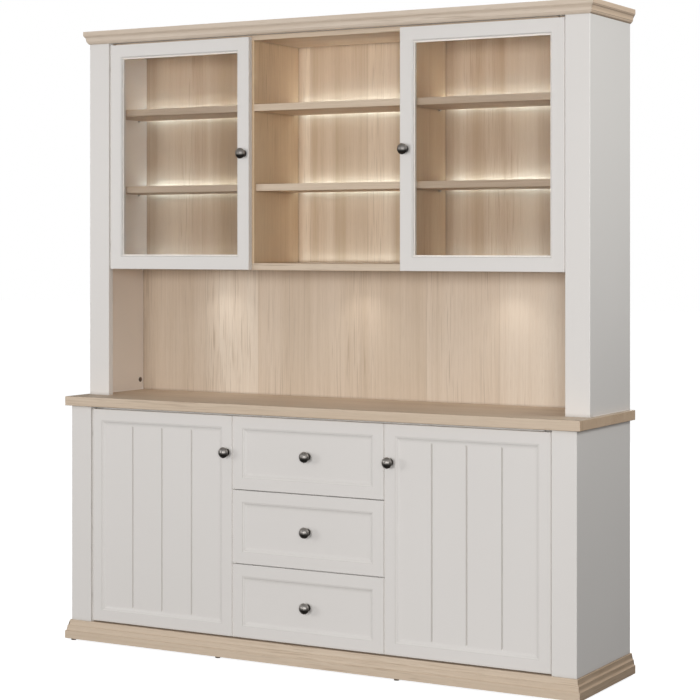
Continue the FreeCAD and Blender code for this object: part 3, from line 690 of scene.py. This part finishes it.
glazed = remap(tree, sideways, divider_inner, divider_outer, 1.0, GLAZED_SHARE)
upward = maths(tree, "MULTIPLY", upward, maths(tree, "MULTIPLY", level, glazed))
rearward = remap(tree, facing["Y"], 0.2, 0.8, 0.0, REAR_LEVEL)
shine = maths(tree, "ADD", upward, rearward)
for edge in (divider_inner, divider_outer, bar_high.x):
    apart = maths(tree, "ABSOLUTE", maths(tree, "SUBTRACT", sideways, edge))
    shine = maths(tree, "MULTIPLY", shine, remap(tree, apart, 0.0, LENS_FADE, END_SHARE, 1.0))
lit = mixed_colour(tree, shine, (0.013, 0.016, 0.018, 1), milk)
tree.links.new(lit, shader.inputs["Emission Color"])
tree.links.new(milk, shader.inputs["Base Color"])
dress(diffuser, "shelf_light_bars")

# %% [markdown]
# The hardware is plated steel: nickel on hinges and shelf pins, zinc on the runners. Rolled sheet shows
# faint lines along its length, so a noise stretched along the runner drives both gloss and colour.

# %% Steel fittings


def steel_finish(name, dark, light, along):
    material, tree, shader, spot = new_finish(name, Metallic=1.0)
    drawn = put(tree, "ShaderNodeMapping", {"Vector": spot, "Scale": along})
    rolled = put(tree, "ShaderNodeTexNoise", {"Vector": drawn.outputs[0], "Scale": 1.0, "Detail": 3.0})
    sheet = mixed_colour(tree, rolled.outputs["Fac"], dark, light)
    corner = use_group(tree, corner_group, {"Reach": 0.004, "Depth": 0.6})
    # Painted shade: a darker colour in the corners.
    sheet = mixed_colour(tree, corner["Mask"], sheet, (0.16, 0.155, 0.15, 1))
    tree.links.new(sheet, shader.inputs["Base Color"])
    vary_gloss(tree, shader, rolled.outputs["Fac"], 0.24, 0.42)
    add_bump(tree, shader, rolled.outputs["Fac"], 0.05, 0.0002)
    return material


hinge_nickel = steel_finish(
    "hinge_nickel", (0.56, 0.55, 0.53, 1), (0.66, 0.65, 0.63, 1), (300.0, 300.0, 60.0),
)
runner_zinc = steel_finish(
    "runner_zinc", (0.55, 0.56, 0.57, 1), (0.68, 0.69, 0.70, 1), (500.0, 6.0, 500.0),
)
dress(hinge_nickel, "hinge_arms", "shelf_pins", *[name for name in nodes if name.endswith("hinge_cups")])
dress(runner_zinc, "drawer_runner_rails", *[name for name in nodes if name.endswith("drawer_slides")])

# %% [markdown]
# The niche is lit by three recessed downlights: a turned bezel, a short throat and a frosted lens. Such
# a shape is a section turned about an axis, so it is drawn as a list of radii and heights and closed
# with a fan at each pole. A real lamp hangs just under each lens, because a downlight throws a cone,
# and that cone is what draws the scallops on the niche wall.

# %% Downlights
SPOT_COLOUR = (1.0, 0.98, 0.95)
SPOT_POWER = 0.92
SPOT_ANGLE = math.radians(116.0)
SPOT_SIDES = 36
LENS_RINGS = 4
LAMP_DROP = 0.002
LAMP_RADIUS = 0.02
SPOT_POLES = (4.0, 12.0)
SPOT_SECTION = [
    (8.0, 3.9), (14.0, 3.6), (18.0, 3.1), (20.0, 2.6), (21.0, 2.5), (21.4, 1.1), (22.4, 0.3), (24.4, 0.0),
    (26.8, 0.2), (28.4, 0.7), (29.0, 1.2), (28.4, 1.6), (28.4, 11.4), (27.6, 12.0),
]
frosted, tree, shader, spot = new_finish("frosted_lens", Roughness=0.45, Emission_Strength=3.0)
skin = use_group(tree, skin_group, {"Vector": spot, "Swell Scale": 60.0, "Peel Scale": 900.0})
frost = mixed_colour(tree, skin["Drift"], (1.0, 0.95, 0.86, 1), (1.0, 0.98, 0.92, 1))
tree.links.new(frost, shader.inputs["Base Color"])
tree.links.new(frost, shader.inputs["Emission Color"])
spot_low, spot_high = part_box("niche_spot_lights")
spot_radius = (spot_high.y - spot_low.y) / 2
spot_places = [
    Vector((x, spot_low.y + spot_radius, spot_low.z))
    for x in (spot_low.x + spot_radius, (spot_low.x + spot_high.x) / 2, spot_high.x - spot_radius)
]
shape = bmesh.new()
for place in spot_places:
    rings = []
    for radius, rise in SPOT_SECTION:
        ring = []
        for side in range(SPOT_SIDES):
            turn = 2 * math.pi * side / SPOT_SIDES
            arm = Vector((math.cos(turn), math.sin(turn), 0.0)) * radius * MM
            ring.append(shape.verts.new(place + arm + Vector((0.0, 0.0, rise * MM))))
        rings.append(ring)
    poles = [shape.verts.new(place + Vector((0.0, 0.0, rise * MM))) for rise in SPOT_POLES]
    for side in range(SPOT_SIDES):
        after = (side + 1) % SPOT_SIDES
        lens = [shape.faces.new((poles[0], rings[0][after], rings[0][side]))]
        shape.faces.new((poles[1], rings[-1][side], rings[-1][after]))
        for number, (inner, outer) in enumerate(zip(rings, rings[1:])):
            face = shape.faces.new((inner[side], inner[after], outer[after], outer[side]))
            if number < LENS_RINGS - 1:
                lens.append(face)
        for face in lens:
            face.material_index = 1
    lamp = bpy.data.lights.new("niche_lamp", "SPOT")
    lamp.energy = SPOT_POWER
    lamp.color = SPOT_COLOUR
    lamp.spot_size = SPOT_ANGLE
    lamp.spot_blend = 1.0
    lamp.shadow_soft_size = LAMP_RADIUS
    thing = bpy.data.objects.new("niche_lamp", lamp)
    thing.location = place - Vector((0.0, 0.0, LAMP_DROP))
    bpy.context.scene.collection.objects.link(thing)
bmesh.ops.recalc_face_normals(shape, faces=shape.faces)
for face in shape.faces:
    face.smooth = True
mesh = bpy.data.meshes.new("niche_downlights")
shape.to_mesh(mesh)
shape.free()
mesh.materials.append(hinge_nickel)
mesh.materials.append(frosted)
downlights = link_piece("niche_downlights", mesh)
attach(downlights, "carcass")
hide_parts("niche_spot_lights")
print("three downlights at", [round(place.x, 3) for place in spot_places])

# %% [markdown]
# What is left is board and plastic: the drawer boxes are white melamine, and the caps and glides are
# dark brown mouldings with a fine spark-eroded grain.

# %% Drawer board and brown plastic
melamine, tree, shader, spot = new_finish("drawer_melamine", IOR=1.5)
skin = use_group(tree, skin_group, {"Vector": spot, "Swell Scale": 5.0, "Peel Scale": 1500.0})
corner = use_group(tree, corner_group, {"Reach": 0.006, "Depth": 0.5})
board = mixed_colour(tree, skin["Drift"], (0.72, 0.71, 0.69, 1), (0.75, 0.74, 0.72, 1))
# Painted shade: a darker colour in the corners.
board = mixed_colour(tree, corner["Mask"], board, (0.45, 0.43, 0.40, 1))
tree.links.new(board, shader.inputs["Base Color"])
vary_gloss(tree, shader, skin["Drift"], 0.45, 0.55)
add_bump(tree, shader, skin["Height"], 0.06, 0.0004)
dress(melamine, *[name for name in nodes if name.endswith("drawer_box")])

brown, tree, shader, spot = new_finish("brown_moulding", IOR=1.5)
skin = use_group(tree, skin_group, {"Vector": spot, "Swell Scale": 80.0, "Peel Scale": 3000.0})
moulded = mixed_colour(tree, skin["Drift"], (0.085, 0.058, 0.040, 1), (0.12, 0.085, 0.060, 1))
tree.links.new(moulded, shader.inputs["Base Color"])
vary_gloss(tree, shader, skin["Drift"], 0.4, 0.55)
add_bump(tree, shader, skin["Height"], 0.15, 0.0002)
dress(brown, "fixing_caps", "foot_glides")

# %% [markdown]
# Small fasteners hold it all together: screws through the flanges of the hinge cups, through the hinge
# plates, behind the knobs and inside the drawers. They are the same screw at different sizes, so a
# Geometry Nodes tree makes one head, a low cone with a cross cut out of it, and sets it on every point
# of a cloud. Each point carries its aim and its size, and a seeded turn keeps the crosses from lining up.

# %% Screw tree


def geometry_tree(name, inputs):
    tree = bpy.data.node_groups.new(name, "GeometryNodeTree")
    tree.is_modifier = True
    shape_kind = "NodeSocketGeometry"
    tree.interface.new_socket("Geometry", in_out="INPUT", socket_type=shape_kind)
    for label, kind in inputs:
        tree.interface.new_socket(label, in_out="INPUT", socket_type=kind)
    tree.interface.new_socket("Geometry", in_out="OUTPUT", socket_type=shape_kind)
    return tree, tree.nodes.new("NodeGroupInput").outputs, tree.nodes.new("NodeGroupOutput")


HEAD_SIDES = 12
HEAD_RISE = 0.42
HEAD_TOP = 0.7
CROSS_CUT = ((1.15, 0.28, 0.5), (0.28, 1.15, 0.5))
screw_tree, given, result = geometry_tree("cross_head_screws", [
    ("Head Rise", FLOAT), ("Turn Seed", "NodeSocketInt"), ("Finish", "NodeSocketMaterial"),
])
head = put(screw_tree, "GeometryNodeMeshCone", {
    "Vertices": HEAD_SIDES, "Radius Top": HEAD_TOP, "Radius Bottom": 1.0, "Depth": given["Head Rise"],
})
drop = put(screw_tree, "ShaderNodeCombineXYZ", {"Z": given["Head Rise"]})
cut = put(screw_tree, "GeometryNodeMeshBoolean", {"Mesh 1": head.outputs["Mesh"]}, operation="DIFFERENCE")
for size in CROSS_CUT:
    slot_box = put(screw_tree, "GeometryNodeMeshCube", {"Size": size})
    set_high = put(screw_tree, "GeometryNodeTransform", {
        "Geometry": slot_box.outputs["Mesh"], "Translation": drop.outputs[0],
    })
    screw_tree.links.new(set_high.outputs[0], cut.inputs["Mesh 2"])
aim = put(screw_tree, "GeometryNodeInputNamedAttribute", {"Name": "aim"}, data_type="FLOAT_VECTOR")
size = put(screw_tree, "GeometryNodeInputNamedAttribute", {"Name": "size"}, data_type="FLOAT")
stand = put(screw_tree, "FunctionNodeAlignRotationToVector", {"Vector": aim.outputs[0]}, axis="Z")
chance = put(screw_tree, "FunctionNodeRandomValue", {2: 0.0, 3: math.pi / 2, 8: given["Turn Seed"]},
             data_type="FLOAT")
spun = put(screw_tree, "FunctionNodeAxisAngleToRotation", {"Angle": chance.outputs[1]})
turned = put(screw_tree, "FunctionNodeRotateRotation", {
    "Rotation": stand.outputs[0], "Rotate By": spun.outputs[0],
}, rotation_space="LOCAL")
placed = put(screw_tree, "GeometryNodeInstanceOnPoints", {
    "Points": given["Geometry"], "Instance": cut.outputs["Mesh"],
    "Rotation": turned.outputs[0], "Scale": size.outputs[0],
})
real = put(screw_tree, "GeometryNodeRealizeInstances", {"Geometry": placed.outputs[0]})
dressed = put(screw_tree, "GeometryNodeSetMaterial", {
    "Geometry": real.outputs[0], "Material": given["Finish"],
})
screw_tree.links.new(dressed.outputs[0], result.inputs["Geometry"])
print("tree", screw_tree.name, "with", len(screw_tree.nodes), "nodes")

# %% [markdown]
# A screw has to sit on what it holds. Instead of typing every height, a ray is shot at the flange or
# the board from the side the screwdriver comes from, and the hit is the seat. The tree is then grown on
# the cloud, turned into a plain mesh, and given to the body that it moves with.

# %% Growing helpers
MOUNTING_SINK = 0.0001


def seat(node, start, aim):
    mesh = nodes[node].data
    corners = [vertex.co for vertex in mesh.vertices]
    tree = BVHTree.FromPolygons(corners, [polygon.vertices for polygon in mesh.polygons])
    hit = tree.ray_cast(Vector(start), -Vector(aim))[0]
    return hit - Vector(aim) * MOUNTING_SINK


def grow(name, mesh, tree, values, body):
    piece = link_piece(name, mesh)
    modifier = piece.modifiers.new("grow", "NODES")
    modifier.node_group = tree
    for socket in tree.interface.items_tree:
        if socket.in_out == "INPUT" and socket.name in values:
            modifier[socket.identifier] = values[socket.name]
    bpy.context.view_layer.update()
    whole = piece.evaluated_get(bpy.context.evaluated_depsgraph_get())
    grown = bpy.data.meshes.new_from_object(whole)
    piece.modifiers.remove(modifier)
    piece.data = grown
    bpy.data.meshes.remove(mesh)
    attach(piece, body)
    print(name, "on", body, "with", len(grown.polygons), "faces")


def screws(name, body, seats):
    mesh = bpy.data.meshes.new(name)
    mesh.from_pydata([place for place, aim, size in seats], [], [])
    mesh.attributes.new("aim", "FLOAT_VECTOR", "POINT")
    mesh.attributes.new("size", "FLOAT", "POINT")
    for number, (place, aim, size) in enumerate(seats):
        mesh.attributes["aim"].data[number].vector = aim
        mesh.attributes["size"].data[number].value = size
    values = {"Head Rise": HEAD_RISE, "Turn Seed": len(name), "Finish": hinge_nickel}
    grow(name, mesh, screw_tree, values, body)


# %% [markdown]
# On each door, two screws hold every hinge cup and one long screw holds the knob. Their places follow
# from the cups' own box: two flanges, near its ends, as wide as the door's hinge spacing.

# %% Door screws
BACKWARD = (0.0, 1.0, 0.0)
CUP_SCREW = 0.0034
KNOB_SCREW = 0.0042
FLANGE_HALF = 0.026
SCREW_REACH = 0.0215
ROOM = 0.06


def door_screws(side, storey, board):
    door = f"{storey}_{side}_door"
    cups = f"{door}_hinge_cups"
    low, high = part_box(cups)
    body = f"{side}_{'glass' if storey == 'hutch' else 'base'}_door"
    flange_x = (low.x + high.x) / 2
    seats = []
    for middle_z in (low.z + FLANGE_HALF, high.z - FLANGE_HALF):
        for step in (-SCREW_REACH, SCREW_REACH):
            start = (flange_x, high.y + ROOM, middle_z + step)
            seats.append((seat(cups, start, BACKWARD), BACKWARD, CUP_SCREW))
    knob_low, knob_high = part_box(f"{door}_knob")
    middle_knob = (knob_low + knob_high) / 2
    start = (middle_knob.x, high.y + ROOM, middle_knob.z)
    seats.append((seat(board, start, BACKWARD), BACKWARD, KNOB_SCREW))
    screws(f"{door}_screws", body, seats)


for side in ("left", "right"):
    door_screws(side, "base", f"base_{side}_door")
    door_screws(side, "hutch", f"hutch_{side}_door_frame")

# %% [markdown]
# A drawer front is held to its box by four screws from inside, and its knob by a fifth in the middle.
# The hinge plates on the posts take two screws each. All plates belong to the cabinet itself, so they
# make one cloud for the carcass.

# %% Drawer and plate screws
FRONT_SCREW = 0.0038
PLATE_SCREW = 0.0036
FRONT_SCREW_X = 0.17
FRONT_SCREW_Z = 0.045
PLATE_SCREW_X = 0.848
PLATE_SCREW_Z = 0.009


def drawer_screws(drawer):
    low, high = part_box(f"{drawer}_box")
    middle_box = (low + high) / 2
    knob_low, knob_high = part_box(f"{drawer}_knob")
    knob_z = (knob_low.z + knob_high.z) / 2
    spots = [(0.0, knob_z, KNOB_SCREW)]
    for step_x in (-FRONT_SCREW_X, FRONT_SCREW_X):
        for step_z in (-FRONT_SCREW_Z, FRONT_SCREW_Z):
            spots.append((step_x, middle_box.z + step_z, FRONT_SCREW))
    seats = []
    for x, z, size in spots:
        seats.append((seat(f"{drawer}_box", (x, middle_box.y, z), BACKWARD), BACKWARD, size))
    screws(f"{drawer}_screws", drawer, seats)


for word in ("top", "middle", "bottom"):
    drawer_screws(f"{word}_drawer")
plate_seats = []
for storey in ("base", "hutch"):
    cups_low, cups_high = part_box(f"{storey}_right_door_hinge_cups")
    for hinge_z in (cups_low.z + FLANGE_HALF, cups_high.z - FLANGE_HALF):
        for step_z in (-PLATE_SCREW_Z, PLATE_SCREW_Z):
            for x in (-PLATE_SCREW_X, PLATE_SCREW_X):
                start = (x, cups_high.y + ROOM, hinge_z + step_z)
                plate_seats.append((seat("hinge_arms", start, BACKWARD), BACKWARD, PLATE_SCREW))
screws("hinge_plate_screws", "carcass", plate_seats)
print("plate screws at", sorted({round(place.y, 4) for place, aim, size in plate_seats}))

# %% [markdown]
# The thin backs are nailed from behind to the boards they close: floor, rails, partitions, dividers and
# hutch boards. A nail row follows a line, so the second tree takes lines, walks along them in even
# steps and sets a low round head on each step, turned to the rear.

# %% Nail rows
NAIL_STEP = 0.145
NAIL_RADIUS = 0.0024
NAIL_SIDES = 10
NAIL_END = 0.04
NAIL_TOP = 0.62
NAIL_RISE = 0.35
PARTITION_HALF = 0.011
nail_tree, given, result = geometry_tree("nail_rows", [
    ("Step", FLOAT), ("Head Radius", FLOAT), ("Finish", "NodeSocketMaterial"),
])
rows = put(nail_tree, "GeometryNodeMeshToCurve", {"Mesh": given["Geometry"]})
steps = put(nail_tree, "GeometryNodeResampleCurve", {
    "Curve": rows.outputs[0], "Length": given["Step"],
}, mode="LENGTH")
nail = put(nail_tree, "GeometryNodeMeshCone", {
    "Vertices": NAIL_SIDES, "Radius Top": NAIL_TOP, "Radius Bottom": 1.0, "Depth": NAIL_RISE,
})
placed = put(nail_tree, "GeometryNodeInstanceOnPoints", {
    "Points": steps.outputs[0], "Instance": nail.outputs["Mesh"],
    "Rotation": (-QUARTER, 0.0, 0.0), "Scale": given["Head Radius"],
})
real = put(nail_tree, "GeometryNodeRealizeInstances", {"Geometry": placed.outputs[0]})
dressed = put(nail_tree, "GeometryNodeSetMaterial", {
    "Geometry": real.outputs[0], "Material": given["Finish"],
})
nail_tree.links.new(dressed.outputs[0], result.inputs["Geometry"])


def middle_height(node):
    low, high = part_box(node)
    return (low.z + high.z) / 2


base_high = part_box("base_back_panel")[1]
rear = base_high.y - MOUNTING_SINK
wide = base_high.x - NAIL_END
level_rows = [
    middle_height("base_bottom_panel"), base_high.z - NAIL_END / 4,
    middle_height("hutch_bottom_panel"), middle_height("hutch_top_panel"),
]
lines = [((-wide, z), (wide, z)) for z in level_rows]
partition_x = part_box("base_partitions")[1].x - PARTITION_HALF
divider_x = (divider_inner + divider_outer) / 2
for x, low_z, high_z in (
    (partition_x, level_rows[0], level_rows[1]), (divider_x, level_rows[2], level_rows[3]),
):
    for side in (-x, x):
        lines.append(((side, low_z + NAIL_STEP), (side, high_z - NAIL_STEP)))
ends = [(x, rear, z) for line in lines for x, z in line]
mesh = bpy.data.meshes.new("back_nails")
mesh.from_pydata(ends, [(2 * number, 2 * number + 1) for number in range(len(lines))], [])
values = {"Step": NAIL_STEP, "Head Radius": NAIL_RADIUS, "Finish": runner_zinc}
grow("back_nails", mesh, nail_tree, values, "carcass")

# %% [markdown]
# Last, the dressed model's box is printed; the frame's own box was taken at the start. The two ought to
# agree, because finishes never change a size.

# %% Sizes and finish
low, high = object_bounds()
print("visual box", [round(v, 4) for v in high - low])
